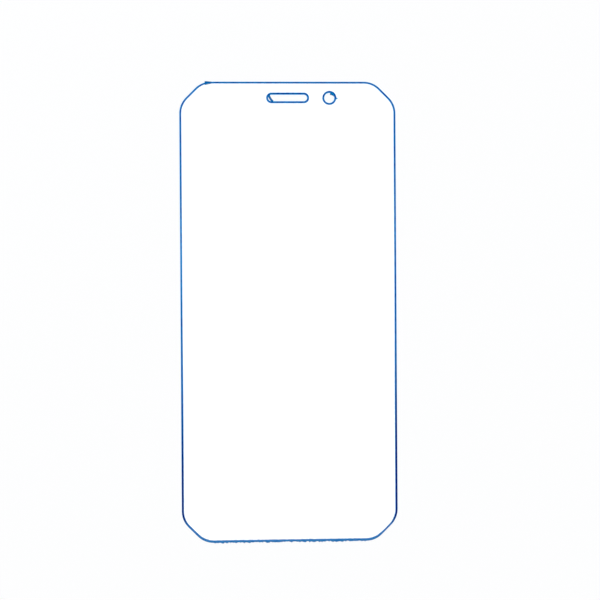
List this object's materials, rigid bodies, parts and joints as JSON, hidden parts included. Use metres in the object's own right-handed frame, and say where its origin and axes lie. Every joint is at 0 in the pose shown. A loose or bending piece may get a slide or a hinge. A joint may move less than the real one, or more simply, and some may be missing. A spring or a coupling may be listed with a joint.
{
  "type": "phone screen protector",
  "caption": "Flat clear sheet with cut corners, a ground rim that shows blue, an earpiece slot and a round camera hole, which sticks over a phone's screen.",
  "frame": {"origin": "middle of the adhesive back face, with the sheet lying on that face", "axes": "+X across the phone, +Y towards the phone's top edge, +Z out of the screen"},
  "size_m": [0.07, 0.149, 0.0004],
  "materials": {
    "clear_glass": "clear and polished, with a blue tint that shows at the ground rims"
  },
  "bodies": {
    "root": {"screen_protector": "clear_glass"}
  },
  "joints": []
}
